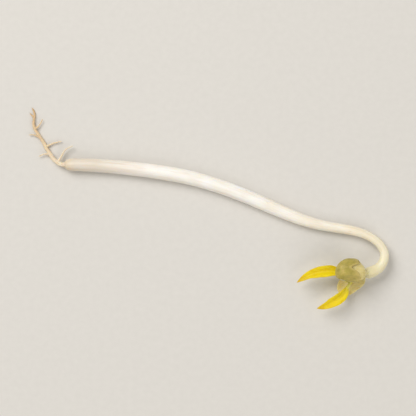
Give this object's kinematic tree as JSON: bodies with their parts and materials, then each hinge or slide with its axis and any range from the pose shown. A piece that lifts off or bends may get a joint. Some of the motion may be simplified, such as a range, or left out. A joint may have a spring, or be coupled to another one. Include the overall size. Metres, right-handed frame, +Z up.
{
  "type": "mung bean sprout",
  "caption": "Single mung bean sprout lying on its side: long white stem, tan root, hooked neck, opened bean halves with split green skin and folded yellow first leaves.",
  "frame": {"origin": "on the surface that the sprout lies on, under the middle of its bounding box", "axes": "+X along the stem from the root end to the hooked head, +Y to the side that the root points to, +Z up from the surface"},
  "size_m": [0.069, 0.0388, 0.0074],
  "materials": {
    "stem_white": "moist, smooth and slightly translucent plant stem, white with faint lengthwise streaks",
    "root_tan": "dull wrinkled root, tan",
    "bean_cream": "waxy, fleshy half of a bean, pale yellow",
    "shoot_pale": "smooth pale yellow shoot",
    "leaf_yellow": "thin folded leaf, bright yellow, veined",
    "skin_green": "thin papery bean skin, olive green"
  },
  "bodies": {
    "root": {"hypocotyl": "stem_white", "taproot": "root_tan", "cotyledon_upper": "bean_cream", "cotyledon_lower": "bean_cream", "epicotyl": "shoot_pale", "leaf_long": "leaf_yellow", "leaf_short": "leaf_yellow", "seed_coat": "skin_green"}
  },
  "joints": []
}
